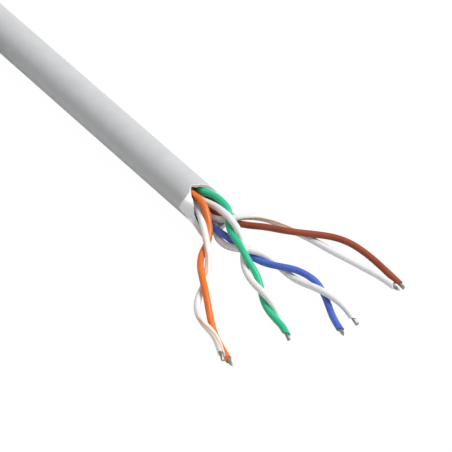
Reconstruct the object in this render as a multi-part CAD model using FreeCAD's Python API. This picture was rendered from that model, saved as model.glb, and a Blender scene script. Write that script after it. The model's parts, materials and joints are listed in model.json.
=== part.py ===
import FreeCAD, Part
import math
import os
from FreeCAD import Vector

# A short length of unshielded twisted-pair network cable: one end is stripped and its four pairs are
# fanned out, and the rest is wound into a tied coil with a square-cut far end.
# Millimetres. +X runs along the straight jacket towards the bare wires, +Z is up, and the cable lies
# on z = 0. The origin is under the middle of the footprint.

# Driving dimensions of the cable
WIRE_OD = 0.92            # insulated conductor
CONDUCTOR_D = 0.51        # solid 24 AWG
CONDUCTOR_PLAY = 0.005    # between a conductor and its insulation, on the radius
WIRE_GAP = 0.02           # between neighbouring wires inside the jacket
BORE_PLAY = 0.035         # between the outermost wires and the jacket, on the radius
JACKET_WALL = 0.55
BARE_TIP = 1.0            # conductor that shows past the insulation

# The straight jacket and its stripped end
LEAD_LENGTH = 62.5        # from the stripped end to the coil
MOUTH_CUT_AT = -0.9       # where the slanting cut crosses the cable's axis
MOUTH_CUT_LEAN = 38.0     # degrees away from a square cut
MOUTH_SHORT_SIDE = 122.0  # the side on which the jacket is shortest, round the axis from +Y to +Z
PAIR_END = -6.5           # where the pairs stop turning evenly, just inside the stripped end
PAIR_TURNS = 4            # turns of each pair between the coil and PAIR_END
PAIR_STEPS = 12           # points for each of those turns
WIRES_START = 0.2         # the wires' clearance from the coil's face

# The coil, its strap and the far end
COIL_RADIUS = 27.0        # to the middle one of the three lower turns
LAST_TURN = 0.5           # share of the last turn that is wound before the far end leaves
TAIL_REACH = 59.0         # from the coil's side to the square-cut far end, along X
FIT_PLAY = 0.05           # between the coil's solid and what runs into it or round it
TIE_ANGLE = 225.0         # place of the strap round the coil, from +X
TIE_WIDTH = 12.0
TIE_THICK = 0.85

# What follows from them
WIRE_R = WIRE_OD / 2
CONDUCTOR_R = CONDUCTOR_D / 2
ORBIT = (WIRE_OD + WIRE_GAP) / 2                      # a wire's centre from its pair's centre
PAIR_R = ORBIT + (WIRE_OD + WIRE_GAP) / math.sqrt(2)  # a pair's centre from the cable's axis
HELIX_ORBIT = ORBIT / math.cos(math.pi / PAIR_STEPS)  # of a helix's points, whose curve cuts inside them
BORE_R = PAIR_R + ORBIT + WIRE_R + BORE_PLAY
JACKET_R = BORE_R + JACKET_WALL
JACKET_OD = 2 * JACKET_R
LAYER_RISE = JACKET_OD * math.sin(math.radians(60))   # from the lower turns up to those lying in their grooves
LOWER_TURNS = [COIL_RADIUS + JACKET_OD * k for k in (1, 0, -1)]
UPPER_TURNS = [COIL_RADIUS + JACKET_OD * k for k in (-0.5, 0.5)]
COIL_OUTER = LOWER_TURNS[0] + JACKET_R
COIL_CENTRE = Vector(-LEAD_LENGTH, -LOWER_TURNS[0], 0)
DRAWN_FOR = 0.92          # the wire that the fan's points were drawn for
FAN = WIRE_OD / DRAWN_FOR

# Each pair's direction from the cable's axis, in degrees round it from +Y to +Z
PAIRS = {"green": 50.0, "orange": 140.0, "blue": 230.0, "brown": 320.0}

# The fanned wires' routes, from the end of the even twist to the end of the insulation, measured from the
# centre of the jacket's stripped end.
ROUTES = {
    "orange": [
        (-4.4, -0.9, 1.2), (-2.3, -0.5, 1.4), (-0.7, -0.6, 1.6), (0.7, -0.9, 1.6),
        (2.3, -1.6, 0.8), (3.7, -2.5, -0.2), (4.7, -3.8, -0.6), (5.7, -5.5, -0.5),
        (7.5, -7.2, -0.2), (9.9, -8.6, 0.0), (12.3, -9.9, -0.4), (14.6, -11.2, -1.3),
        (16.8, -12.3, -1.9), (19.1, -13.0, -2.1), (21.4, -13.6, -2.1),
    ],
    "white_orange": [
        (-4.7, -0.7, 0.2), (-2.7, -0.7, 0.4), (-0.8, -0.9, 0.6), (1.1, -2.0, 0.7),
        (3.2, -3.2, 0.6), (5.3, -4.4, 0.4), (7.1, -5.5, -0.1), (8.6, -6.8, -0.7),
        (9.9, -8.4, -1.1), (11.2, -10.5, -1.1), (13.0, -12.1, -0.9), (15.2, -12.9, -0.8),
        (17.2, -13.0, -0.7), (19.1, -13.4, -1.0), (20.7, -14.2, -1.3),
    ],
    "green": [
        (-4.9, 1.1, 1.1), (-3.4, 1.0, 1.2), (-1.9, 0.8, 1.3), (-0.2, 1.3, 1.7),
        (1.2, 1.5, 1.6), (2.6, 1.5, 1.3), (3.5, 1.0, 1.0), (4.5, 0.0, 0.8),
        (6.0, -0.9, 0.9), (7.9, -1.5, 1.0), (9.9, -1.9, 1.1), (11.7, -2.2, 0.5),
        (13.4, -2.4, -0.2), (14.9, -3.0, -0.8), (16.3, -3.9, -1.1), (18.3, -4.7, -1.2),
        (20.4, -5.0, -1.3), (22.0, -5.1, -1.4), (23.2, -5.5, -1.5),
    ],
    "white_green": [
        (-4.6, 0.2, 0.6), (-2.7, 0.2, 0.5), (-0.8, 0.3, 0.7), (0.9, 0.5, 1.1),
        (2.6, 0.3, 1.7), (4.4, 0.2, 1.9), (6.3, 0.0, 1.5), (7.9, -0.3, 0.9),
        (9.1, -1.0, 0.3), (10.3, -2.2, -0.1), (12.2, -3.2, -0.3), (14.4, -3.8, -0.1),
        (16.4, -3.9, 0.0), (18.1, -3.9, -0.3), (19.5, -3.9, -1.0), (20.6, -4.0, -1.5),
        (21.7, -4.2, -1.8),
    ],
    "blue": [
        (-4.4, -1.2, -1.0), (-2.0, -1.3, -0.9), (0.4, -1.3, -0.8), (2.5, -1.2, -0.7),
        (4.1, -1.0, -0.5), (5.4, -0.7, -0.7), (6.6, -0.4, -1.1), (8.1, -0.3, -1.4),
        (9.9, -0.1, -1.3), (11.9, 0.2, -0.9), (13.9, 1.0, -0.4), (15.5, 2.2, -0.4),
        (17.1, 3.0, -0.7), (18.7, 3.4, -1.1), (20.7, 3.0, -1.6), (22.7, 2.1, -1.8),
        (24.7, 1.2, -1.8), (26.7, 0.6, -1.6),
    ],
    "white_blue": [
        (-4.6, -0.2, -1.0), (-2.7, 0.1, -1.4), (-0.8, 0.3, -1.6), (1.0, 0.2, -1.6),
        (2.5, -0.6, -1.6), (4.1, -1.4, -1.5), (5.9, -1.6, -1.2), (7.5, -1.2, -0.7),
        (8.8, -0.4, -0.4), (10.0, 0.4, -0.4), (11.3, 1.1, -0.7), (13.0, 1.5, -1.2),
        (15.2, 1.6, -1.5), (17.4, 1.9, -1.2), (19.4, 2.3, -0.7), (21.4, 2.8, -0.6),
        (23.3, 3.2, -0.8), (24.8, 3.4, -1.3), (26.1, 3.3, -1.8),
    ],
    "brown": [
        (-4.7, 1.2, -1.1), (-2.8, 1.3, -0.9), (-1.1, 1.2, -0.7), (0.6, 1.1, -0.8),
        (2.2, 1.4, -1.1), (3.7, 2.0, -1.0), (5.3, 3.0, -0.8), (7.1, 4.2, -0.4),
        (9.1, 5.5, -0.3), (10.9, 7.0, -0.3), (12.6, 8.7, -0.4), (14.3, 10.3, -0.6),
        (16.3, 11.3, -0.8), (18.8, 11.9, -1.2), (21.9, 12.1, -1.6), (25.0, 12.1, -1.9),
    ],
    "white_brown": [
        (-4.6, 0.6, -0.3), (-2.6, 0.3, -0.4), (-0.6, -0.1, -0.6), (1.1, -0.1, -0.7),
        (2.5, 0.5, -0.4), (3.5, 1.7, 0.0), (4.3, 3.1, 0.1), (5.5, 4.6, -0.1),
        (6.9, 5.8, -0.5), (8.6, 6.8, -1.0), (10.4, 7.5, -1.3), (12.4, 8.1, -1.3),
        (15.0, 8.7, -1.4), (18.1, 9.6, -1.5), (21.0, 10.5, -1.7), (23.3, 11.0, -1.7),
        (25.0, 11.1, -1.7),
    ],
}

# The far end's route: x from the coil's side as a share of TAIL_REACH, y from its last turn, and height as a
# share of LAYER_RISE above the lower turns. It rides over the outermost turn and comes down on the surface.
TAIL_ROUTE = [
    (0.0, 0.0, 1.0), (0.16, 0.1, 1.17), (0.33, -0.4, 1.13), (0.5, -1.2, 0.63),
    (0.66, -1.5, 0.14), (0.83, -1.1, 0.0), (1.0, -1.1, 0.0),
]


def runs_and_arcs(points):
    """Straight runs joined by tangent arcs: (wire, smallest radius, length)."""
    edges, start, smallest = [], points[0], math.inf
    for before, at, after in zip(points, points[1:], points[2:]):
        back, on = before - at, after - at
        half_turn = (math.pi - back.getAngle(on)) / 2
        radius = 0.45 * min(back.Length, on.Length) / math.tan(half_turn)
        trim = radius * math.tan(half_turn)
        back.normalize()
        on.normalize()
        first, last = at + back * trim, at + on * trim
        middle = at + (back + on).normalize() * (radius / math.cos(half_turn) - radius)
        edges.append(Part.LineSegment(start, first).toShape())
        edges.append(Part.Arc(first, middle, last).toShape())
        start, smallest = last, min(smallest, radius)
    edges.append(Part.LineSegment(start, points[-1]).toShape())
    return Part.Wire(edges), smallest, sum(edge.Length for edge in edges)


def disc(radius, centre, facing):
    return Part.Face(Part.Wire(Part.makeCircle(radius, centre, facing)))


def rod(points, radius, bore=0.0):
    """A round solid along a route, with a round bore if one is given."""
    path, _, _ = runs_and_arcs(points)
    along = points[1] - points[0]
    section = disc(radius, points[0], along)
    if bore:
        section = section.cut(disc(bore, points[0], along)).Faces[0]
    return path.makePipe(section)


def report(name, points, shape, radius, bore=0.0):
    """Print a route's length and smallest radius, and how its solid's volume compares with them."""
    _, smallest, length = runs_and_arcs(points)
    expected = math.pi * (radius ** 2 - bore ** 2) * length
    print(f"{name}: length {length:.1f}, smallest radius {smallest:.2f}"
          f" = {smallest / (2 * radius):.1f} diameters, volume {shape.Volume / expected:.4f} of section x length")


def round_axis(degrees, radius):
    """A point in the plane across the cable, at an angle from +Y towards +Z."""
    turn = math.radians(degrees)
    return Vector(0, radius * math.cos(turn), radius * math.sin(turn))


def in_jacket(pair, side, orbit, turned=0.0):
    """Where a wire lies across the jacket. side is 1 for the coloured wire and -1 for its white mate."""
    return round_axis(PAIRS[pair], PAIR_R) + round_axis(PAIRS[pair] + turned, orbit * side)


def wire_route(pair, side, name):
    """A wire's points: turning with its pair along the jacket, then out through the stripped end."""
    steps = PAIR_TURNS * PAIR_STEPS
    first = WIRES_START - LEAD_LENGTH
    step = (PAIR_END * FAN - first) / steps
    points = []
    for k in range(steps + 1):
        across = in_jacket(pair, side, HELIX_ORBIT, 360 * (steps - k) / PAIR_STEPS)
        points.append(Vector(first + step * k, 0, 0) + across)
    return points + [Vector(*point) * FAN for point in ROUTES[name]]


def wire(pair, side, name):
    """One insulated conductor of the stripped end: (insulation, conductor)."""
    points = wire_route(pair, side, name)
    insulation = rod(points, WIRE_R, CONDUCTOR_R + CONDUCTOR_PLAY)
    report(name, points, insulation, WIRE_R, CONDUCTOR_R + CONDUCTOR_PLAY)
    onward = (points[-1] - points[-2]).normalize() * BARE_TIP
    conductor = rod(points[:-1] + [points[-1] + onward], CONDUCTOR_R)
    return insulation, conductor


def jacket_lead():
    """The straight jacket, with the slanting cut of its stripped end."""
    along = Vector(1, 0, 0)
    reach = LEAD_LENGTH + JACKET_OD * 2
    start = Vector(-LEAD_LENGTH, 0, 0)
    tube = Part.makeCylinder(JACKET_R, reach, start, along).cut(Part.makeCylinder(BORE_R, reach, start, along))
    waste = Part.makeBox(reach, reach, reach, Vector(0, -reach / 2, -reach / 2))
    short_side = round_axis(MOUTH_SHORT_SIDE, 1.0)
    waste.rotate(Vector(0, 0, 0), along.cross(short_side), MOUTH_CUT_LEAN)
    waste.translate(Vector(MOUTH_CUT_AT, 0, 0))
    return tube.cut(waste)


def tail_route():
    """The points of the far end, from the coil's last turn to the square cut."""
    start = COIL_CENTRE + Vector(0, -UPPER_TURNS[-1], 0)
    return [start + Vector(share * TAIL_REACH, aside, height * LAYER_RISE) for share, aside, height in TAIL_ROUTE]


def beside(points, offset):
    """A route parallel to another, offset across it by a vector in the plane that faces along the cable."""
    moved = []
    for k, point in enumerate(points):
        along = (points[min(k + 1, len(points) - 1)] - points[max(k - 1, 0)]).normalize()
        aside = Vector(0, 0, 1).cross(along).normalize()
        moved.append(point + aside * offset.y + along.cross(aside) * offset.z)
    return moved


def far_wires():
    """The eight wires that show at the square-cut far end: (their insulation, their conductor)."""
    insulation, conductor = [], []
    for pair in PAIRS:
        for side in (1, -1):
            points = beside(tail_route(), in_jacket(pair, side, ORBIT))
            insulation.append(rod(points, WIRE_R, CONDUCTOR_R + CONDUCTOR_PLAY))
            conductor.append(rod(points, CONDUCTOR_R))
    return Part.makeCompound(insulation), Part.makeCompound(conductor)


def bundle_outline(grow):
    """The outline round the coil's five stacked turns, in the plane through the coil's axis."""
    outer, inner = LOWER_TURNS[0], LOWER_TURNS[-1]
    corners = [(inner, 0, 150, 270), (outer, 0, -90, 30), (UPPER_TURNS[1], LAYER_RISE, 30, 90),
               (UPPER_TURNS[0], LAYER_RISE, 90, 150)]
    radius = JACKET_R + grow
    arcs = []
    for x, z, first, last in corners:
        on = [Vector(x + radius * math.cos(math.radians(a)), 0, z + radius * math.sin(math.radians(a)))
              for a in (first, (first + last) / 2, last)]
        arcs.append(Part.Arc(*on).toShape())
    edges = []
    for arc, following in zip(arcs, arcs[1:] + arcs[:1]):
        edges += [arc, Part.LineSegment(arc.lastVertex().Point, following.firstVertex().Point).toShape()]
    return Part.Wire(edges)


def strap():
    """The hook-and-loop strap round the turns, flat on the surface, closed on itself."""
    outer = Part.Face(bundle_outline(TIE_THICK - FIT_PLAY))
    band = outer.cut(Part.Face(bundle_outline(-FIT_PLAY))).Faces[0]
    band.translate(Vector(0, 0, TIE_THICK - FIT_PLAY))
    sweep = math.degrees(TIE_WIDTH / COIL_RADIUS)
    band.rotate(Vector(0, 0, 0), Vector(0, 0, 1), TIE_ANGLE - sweep / 2)
    solid = band.revolve(Vector(0, 0, 0), Vector(0, 0, 1), sweep)
    solid.translate(COIL_CENTRE)
    return solid


def coil(tie):
    """The outer shape of the tied turns, with room for the lead, the far end and the strap."""
    ring = Part.Face(bundle_outline(0)).revolve(Vector(0, 0, 0), Vector(0, 0, 1), 360)
    ring.translate(COIL_CENTRE)
    room = JACKET_R + FIT_PLAY
    lead = Part.makeCylinder(room, LEAD_LENGTH, Vector(-LEAD_LENGTH, 0, 0), Vector(1, 0, 0))
    return ring.cut(lead).cut(rod(tail_route(), room)).cut(tie)


def main():
    os.makedirs("parts", exist_ok=True)
    tail = rod(tail_route(), JACKET_R, BORE_R)
    report("jacket_tail", tail_route(), tail, JACKET_R, BORE_R)
    tie = strap()
    nodes = {"jacket_lead": jacket_lead(), "jacket_coil": coil(tie), "jacket_tail": tail, "coil_tie": tie}
    nodes["far_end_insulation"], nodes["far_end_conductor"] = far_wires()
    for pair in PAIRS:
        for side, name in ((1, pair), (-1, "white_" + pair)):
            nodes[name + "_insulation"], nodes[name + "_conductor"] = wire(pair, side, name)

    # The mouth of the jacket is placed so that the footprint's middle falls on the origin.
    fan_ends = [Vector(*ROUTES[name][-1]) * FAN for name in ROUTES]
    ahead = max(end.x for end in fan_ends) + BARE_TIP
    left = max(end.y for end in fan_ends) + WIRE_R
    back = LEAD_LENGTH + COIL_OUTER
    right = LOWER_TURNS[0] + COIL_OUTER
    mouth = Vector((back - ahead) / 2, (right - left) / 2, JACKET_R)
    wound = 2 * math.pi * (sum(LOWER_TURNS) + UPPER_TURNS[0] + LAST_TURN * UPPER_TURNS[1])
    _, _, tail_length = runs_and_arcs(tail_route())
    print(f"jacket: {JACKET_OD:.3f} across, bore {2 * BORE_R:.3f}, in all {LEAD_LENGTH + wound + tail_length:.0f} long")
    print(f"stripped end at {mouth.x:.2f}, {mouth.y:.2f}, {mouth.z:.3f}")
    for name, shape in nodes.items():
        shape.translate(mouth)
        shape.exportStep(f"parts/{name}.step")
        print(f"{name}: valid {shape.isValid()}, {len(shape.Solids)} solid(s), {shape.Volume:.1f} mm3")


main()
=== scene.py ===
# %% [markdown]
# # A network cable with its end stripped
#
# The object is a short length of unshielded network cable. Its grey jacket is cut back at one end, and the eight
# wires that come out of it are fanned in four pairs. The rest of the cable is wound into a tied coil.
#
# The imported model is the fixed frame: it says where things are and how big they are. Everything made here rides on
# it. A lesson like this one goes from the big decisions to the small ones: camera, cords, small pieces, finishes,
# light.

# %% Load the frame
import json
import math
import bmesh
import bpy
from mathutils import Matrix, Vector
from mathutils.noise import noise


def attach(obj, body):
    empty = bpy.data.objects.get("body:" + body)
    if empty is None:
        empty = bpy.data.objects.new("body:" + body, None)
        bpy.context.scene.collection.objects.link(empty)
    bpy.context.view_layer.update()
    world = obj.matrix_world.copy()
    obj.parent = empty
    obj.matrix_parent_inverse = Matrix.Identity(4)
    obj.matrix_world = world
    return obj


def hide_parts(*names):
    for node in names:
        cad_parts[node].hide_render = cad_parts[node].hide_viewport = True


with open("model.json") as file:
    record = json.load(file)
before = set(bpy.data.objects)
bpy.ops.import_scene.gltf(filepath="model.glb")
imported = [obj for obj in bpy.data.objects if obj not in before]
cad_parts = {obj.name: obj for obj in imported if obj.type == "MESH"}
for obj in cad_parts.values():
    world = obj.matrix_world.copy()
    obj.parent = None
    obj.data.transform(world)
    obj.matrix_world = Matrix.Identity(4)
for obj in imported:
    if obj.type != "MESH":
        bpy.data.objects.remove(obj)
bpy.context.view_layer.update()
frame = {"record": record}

# %% [markdown]
# ## Sizes
#
# A wire, a pair and a jacket nest in each other, so each size follows from the one inside it. These are the sizes
# of the frame's own model, in metres. Only two things are read from the frame: the middle of the stripped end, and
# the radius of the jacket, which is printed beside the sum.

# %% Sizes and places
MM = 0.001
WIRE_OD = 0.92 * MM
CONDUCTOR_D = 0.51 * MM
WIRE_GAP = 0.02 * MM
BORE_PLAY = 0.035 * MM
JACKET_WALL = 0.55 * MM
BARE_TIP = 1.0 * MM

WIRE_R = WIRE_OD / 2
CONDUCTOR_R = CONDUCTOR_D / 2
WIRE_BORE_R = CONDUCTOR_R + 0.01 * MM
ORBIT = (WIRE_OD + WIRE_GAP) / 2
PAIR_R = ORBIT + (WIRE_OD + WIRE_GAP) / math.sqrt(2)
BORE_R = PAIR_R + ORBIT + WIRE_R + BORE_PLAY
JACKET_R = BORE_R + JACKET_WALL
JACKET_OD = 2 * JACKET_R
LEAD_LENGTH = 62.5 * MM

mounts = {mount["name"]: mount for mount in frame["record"]["mounts"]}
mouth = Vector(mounts["stripped_end"]["pos_m"])
print("jacket radius", JACKET_R, "and the frame's", mounts["far_jacket_end"]["dims"]["r_mm"] * MM)
print("middle of the stripped end", tuple(mouth))

# %% [markdown]
# ## Camera
#
# A long lens from well back keeps the cable's two edges almost parallel, as a product picture does. The camera is
# aimed first, because the cords are judged by how far they spread outside its view. It is placed by an azimuth and
# an elevation about a target, so that its angle can be read straight off the numbers.

# %% Camera
VIEW_AZIMUTH = math.radians(51.1)
VIEW_ELEVATION = math.radians(45.0)
VIEW_DISTANCE = 450 * MM
LENS_MM = 270.6

target = Vector((mouth.x, mouth.y, 0)) + Vector((2.798, 0.976, 1.086)) * MM
level = math.cos(VIEW_ELEVATION)
away = Vector((math.sin(VIEW_AZIMUTH) * level, -math.cos(VIEW_AZIMUTH) * level, math.sin(VIEW_ELEVATION)))
camera = bpy.data.objects.new("camera", bpy.data.cameras.new("camera"))
bpy.context.collection.objects.link(camera)
camera.location = target + away * VIEW_DISTANCE
camera.rotation_euler = (-away).to_track_quat("-Z", "Y").to_euler()
camera.data.lens = LENS_MM
camera.data.sensor_width = 36
camera.data.clip_start = 0.01
bpy.context.scene.camera = camera
print("camera at", tuple(round(x, 4) for x in camera.location))

# %% [markdown]
# ## How a cord's line is made
#
# A cord bends smoothly, so its line is a NURBS spline with a given route as its control points. Order 3 and
# the clamped ends are set after the points are added, because Blender resets them while the spline is short. A
# curve with no bevel, turned into a mesh, gives points along that line, and the tubes below follow those points.

# %% A smooth line through a route
def smooth_line(route, steps=6):
    """Points along the NURBS spline that has the route's points as its control points."""
    curve = bpy.data.curves.new("line", "CURVE")
    curve.dimensions = "3D"
    spline = curve.splines.new("NURBS")
    spline.points.add(len(route) - 1)
    for place, point in zip(spline.points, route):
        place.co = (*point, 1.0)
    spline.order_u = 3
    spline.use_endpoint_u = True
    spline.resolution_u = steps
    holder = bpy.data.objects.new("line", curve)
    mesh = bpy.data.meshes.new_from_object(holder)
    line = [vertex.co.copy() for vertex in mesh.vertices]
    bpy.data.objects.remove(holder)
    bpy.data.curves.remove(curve)
    bpy.data.meshes.remove(mesh)
    return line


def length_of(line):
    return sum((b - a).length for a, b in zip(line, line[1:]))


trial = smooth_line([Vector((0, 0, 0)), Vector((0.01, 0, 0)), Vector((0.01, 0.01, 0))])
print("a corner 20 mm round becomes a bend", round(length_of(trial) / MM, 1), "mm long, in", len(trial), "points")


# %% [markdown]
# ## The jacket's route
#
# The jacket is one piece of tube, nearly 0.9 m long: a straight lead, four and a half turns, and a far end that
# comes out of the coil. Wound cable nests: the upper turns lie in the grooves of the lower ones, which puts them
# JACKET_OD x sin 60 degrees higher. A turn can't change its place everywhere at once, so each change of radius or
# layer happens over a short angle, and the turns are listed as keys (angle, radius, height) with a smooth step
# between them. A loop walks round the coil 24 points to the turn.

# %% The coil's keys
COIL_RADIUS = 27.0 * MM
LAYER_RISE = JACKET_OD * math.sin(math.radians(60))
OUTER, MIDDLE, INNER = (COIL_RADIUS + JACKET_OD * k for k in (1, 0, -1))
UPPER_IN, UPPER_OUT = (COIL_RADIUS + JACKET_OD * k for k in (-0.5, 0.5))
coil_centre = mouth + Vector((-LEAD_LENGTH, -OUTER, 0))
STEPS_A_TURN = 24
TURN_STEP = 360 / STEPS_A_TURN
COIL_START, COIL_END = 90, 1710
TIE_ANGLE = 225
TIE_WIDTH = 12.0 * MM
TIE_THICK = 0.85 * MM

COIL_KEYS = [
    (90, OUTER, 0), (398, OUTER, 0), (444, MIDDLE, 0), (758, MIDDLE, 0), (804, INNER, 0), (1070, INNER, 0),
    (1118, INNER, JACKET_OD), (1141, INNER + JACKET_OD / 4, JACKET_OD * 1.02), (1164, UPPER_IN, LAYER_RISE),
    (1380, UPPER_IN, LAYER_RISE), (1405, MIDDLE, JACKET_OD * 1.02), (1430, UPPER_OUT, LAYER_RISE),
    (1478, UPPER_OUT, LAYER_RISE), (1501, UPPER_OUT, JACKET_OD * 1.02), (1524, UPPER_OUT, LAYER_RISE),
    (1710, UPPER_OUT, LAYER_RISE),
]
turn_radii = (INNER, UPPER_IN, MIDDLE, UPPER_OUT, OUTER)
print(len(COIL_KEYS), "keys, turns at radii of", [round(radius / MM, 1) for radius in turn_radii], "mm")

# %% [markdown]
# The smooth step is the same everywhere in this lesson: it starts and stops gently, so a key never makes a kink.
# Under the strap the whole coil is lifted by the strap's thickness. The spline cuts its corners, so each point is
# set out a little, by the cosine of half a step.

# %% The turns, point by point
TIE_NEAR, TIE_FAR = 12, 32      # degrees from the strap's middle between which the turns come down again


def eased(share):
    """A smooth step from 0 to 1."""
    share = min(max(share, 0.0), 1.0)
    return share * share * (3 - 2 * share)


def on_coil(angle):
    """A point of the coil's centreline, wound anticlockwise from the lead."""
    for (a0, r0, z0), (a1, r1, z1) in zip(COIL_KEYS, COIL_KEYS[1:]):
        if angle <= a1:
            break
    share = eased((angle - a0) / (a1 - a0))
    radius = (r0 + (r1 - r0) * share) / math.cos(math.radians(TURN_STEP / 2))
    from_tie = abs((angle - TIE_ANGLE + 180) % 360 - 180)
    lifted = TIE_THICK * eased((TIE_FAR - from_tie) / (TIE_FAR - TIE_NEAR))
    height = z0 + (z1 - z0) * share + lifted
    turn = math.radians(angle)
    return coil_centre + Vector((radius * math.cos(turn), radius * math.sin(turn), height))


first = COIL_START + TURN_STEP / 2
turns = [on_coil(first + TURN_STEP * k) for k in range(int((COIL_END - COIL_START) / TURN_STEP))]
print(len(turns), "points in", (COIL_END - COIL_START) / 360, "turns")

# %% [markdown]
# The far end rides over the outermost turn, where its hump has two points at its top, and comes down on the
# surface. The lead is dead straight up to the coil, so the corner where the coil starts has one more point, as far
# before it as the first turn's next point is after it.

# %% The whole line of the jacket
TAIL_REACH = 59.0 * MM
TAIL_ROUTE = [
    (0.0, 0.0, 1.0), (0.16, 0.1, 1.17), (0.33, -0.4, 1.13), (0.5, -1.2, 0.63),
    (0.66, -1.5, 0.14), (0.83, -1.1, 0.0), (1.0, -1.1, 0.0),
]
tail_start = coil_centre + Vector((0, -UPPER_OUT, 0))
tail = [tail_start + Vector((share * TAIL_REACH, aside * MM, height * LAYER_RISE))
        for share, aside, height in TAIL_ROUTE]
corner = turns[0].x - mouth.x
next_step = (turns[1] - turns[0]).length
lead = [mouth + Vector((x, 0, 0)) for x in (0, -LEAD_LENGTH / 2, corner + next_step)]
jacket_line = smooth_line(lead + turns + tail, steps=4)

# %% [markdown]
# ## Tubes
#
# A tube is a stack of rings joined by four-sided faces. Each ring stands square to the line. Its first direction
# is level and its second points up, which never flips as long as the line doesn't stand on end. A tube with a bore
# is one closed stack: down the outside, then back up the inside.
#
# The faces also get a UV map: u goes once round, and v is the distance along the tube in millimetres. Whatever is
# drawn or scratched along a wire later on uses that map, so it bends with the wire.

# %% Directions along a line
def level_frames(line):
    """For each point of a line: (the point, a level direction across it, the direction up from it)."""
    frames = []
    for k, point in enumerate(line):
        along = (line[min(k + 1, len(line) - 1)] - line[max(k - 1, 0)]).normalized()
        across = Vector((0, 0, 1)).cross(along).normalized()
        frames.append((point, across, along.cross(across)))
    return frames


def ring(place, radius, count, twist=0.0):
    """One ring of points. twist turns its first point round the line, in degrees."""
    point, across, up = place
    turns_round = [2 * math.pi * k / count + math.radians(twist) for k in range(count)]
    return [point + across * math.cos(a) * radius + up * math.sin(a) * radius for a in turns_round]


print("directions at", len(level_frames(jacket_line)), "points of the jacket's line")

# %% [markdown]
# A mesh built face by face could come out with some faces turned inwards, so the normals are worked out again at
# the end. A fresh cut has a crisp edge in an otherwise smooth tube, so those rings' edges are marked as sharp.

# %% A mesh from rings
def from_rings(name, rings, along, closed, crisp=()):
    """A tube from rings of points. along is each ring's distance in mm. closed joins the last ring to the
    first, and otherwise the two ends are filled. crisp lists the rings that are cut edges."""
    count = len(rings[0])
    bm = bmesh.new()
    uv = bm.loops.layers.uv.new("skin")
    rows = [[bm.verts.new(point) for point in points] for points in rings]
    joins = list(range(len(rows) if closed else len(rows) - 1))
    for i in joins:
        j = (i + 1) % len(rows)
        for k in range(count):
            m = (k + 1) % count
            face = bm.faces.new((rows[i][k], rows[i][m], rows[j][m], rows[j][k]))
            face.smooth = True
            shares = ((k, i), (k + 1, i), (k + 1, j), (k, j))
            for loop, (around, at) in zip(face.loops, shares):
                loop[uv].uv = (around / count, along[at])
    if not closed:
        bm.faces.new(rows[0][::-1])
        bm.faces.new(rows[-1])
    for i in crisp:
        for k in range(count):
            bm.edges.get((rows[i][k], rows[i][(k + 1) % count])).smooth = False
    bmesh.ops.recalc_face_normals(bm, faces=bm.faces)
    mesh = bpy.data.meshes.new(name)
    bm.to_mesh(mesh)
    bm.free()
    piece = bpy.data.objects.new(name, mesh)
    bpy.context.collection.objects.link(piece)
    print(name, len(mesh.vertices), "vertices,", len(mesh.polygons), "faces")
    return piece


def distances(line):
    """The distance in mm to each point of a line."""
    run = [0.0]
    for a, b in zip(line, line[1:]):
        run.append(run[-1] + (b - a).length / MM)
    return run


jacket_run = distances(jacket_line)
print("the jacket's points are", round(jacket_run[-1] / (len(jacket_run) - 1), 2), "mm apart on average")


# %% [markdown]
# ## The jacket and its torn end
#
# A jacket is nicked with a blade and pulled off, so its edge is not square. It slants, it has a notch where the
# blade went in, and below the notch a lip was stretched outwards before it gave way. The outer edge and the edge
# of the bore tear in different places, and the face between them is broad where the cut was slanting. It is
# pale partly from the stretched plastic's own white and partly from painted light.
#
# A blade cut by a boolean would be too clean. Instead the rings near the end are pulled along the jacket, each
# point by an amount that depends on its angle. The amounts are keys round the edge, in degrees from +Y towards +Z:
# (angle, how far the outer edge reaches, how far the bore's edge reaches, how far it is flared), in millimetres.

# %% The torn edge
TORN_EDGE = [
    (32, -0.9, -1.1, 0.0), (46, -1.4, -1.6, 0.0), (60, -1.8, -2.05, 0.0), (82, -2.2, -2.4, 0.0),
    (100, -2.7, -2.9, 0.0), (108, -2.45, -2.6, 0.0), (122, -2.0, -1.9, 0.05), (132, -1.9, -1.0, 0.2),
    (144, -1.9, -0.3, 0.3), (160, -2.1, 0.1, 0.3), (174, -2.2, 0.5, 0.25), (180, -1.6, 0.8, 0.25),
    (186, 0.0, 1.1, 0.3), (192, 1.2, 1.5, 0.35), (200, 1.9, 1.9, 0.5), (212, 2.4, 2.3, 0.55),
    (228, 2.3, 2.2, 0.35), (246, 2.25, 2.15, 0.0), (270, 2.2, 2.1, 0.0), (300, 2.3, 2.2, 0.0),
    (335, 2.4, 2.3, 0.0), (352, 2.6, 2.4, 0.0), (362, 2.1, 1.9, 0.0), (372, 1.1, 1.0, 0.0),
    (382, 0.1, 0.0, 0.0), (392, -0.9, -1.1, 0.0),
]
RAGGED = 0.07   # how uneven the tear is


def torn(angle):
    """The torn edge at an angle: (outer reach, bore's reach, flare) in millimetres."""
    angle = (angle - TORN_EDGE[0][0]) % 360 + TORN_EDGE[0][0]
    for (a0, *before), (a1, *after) in zip(TORN_EDGE, TORN_EDGE[1:]):
        if angle <= a1:
            break
    share = eased((angle - a0) / (a1 - a0))
    outer, bore, flare = (b + (a - b) * share for b, a in zip(before, after))
    turn = math.radians(angle)
    rough = RAGGED * noise(Vector((math.cos(turn), math.sin(turn), 0)) * 5)
    return outer + rough, bore + rough * 1.5, flare


at_notch, at_lip = torn(104)[0], torn(212)[0]
print("the outer edge reaches", round(at_notch, 2), "mm at the notch and", round(at_lip, 2), "mm at the lip")

# %% [markdown]
# The pull is strongest at the edge and dies away over the next 9 mm, so the rings are close together near the edge
# and further apart behind it. The bore needs fewer rings than the skin, because nobody sees its curves.

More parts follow.
